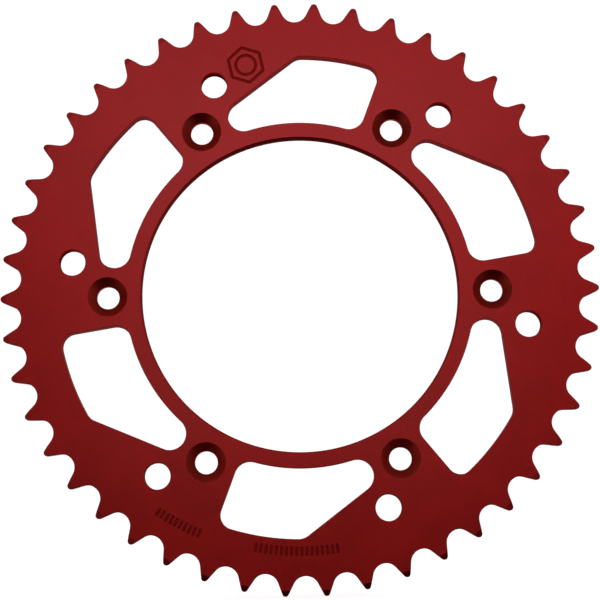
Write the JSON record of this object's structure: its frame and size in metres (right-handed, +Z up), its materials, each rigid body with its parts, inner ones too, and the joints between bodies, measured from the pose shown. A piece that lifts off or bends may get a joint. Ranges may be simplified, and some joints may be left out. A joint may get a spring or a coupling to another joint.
{
  "type": "motorcycle rear sprocket",
  "caption": "Flat red anodised chain sprocket with rounded teeth, a large bore, countersunk bolt holes and swept weight-saving windows.",
  "frame": {"origin": "the middle of the bore, halfway through the plate", "axes": "+Y along the wheel axis, from the countersunk outer face towards the wheel hub; +X from the bore through one bolt hole and one tooth; +Z up"},
  "size_m": [0.2382, 0.0058, 0.2378],
  "materials": {
    "red_anodised_aluminium": "satin red anodised"
  },
  "bodies": {
    "root": {"sprocket": "red_anodised_aluminium"}
  },
  "joints": []
}
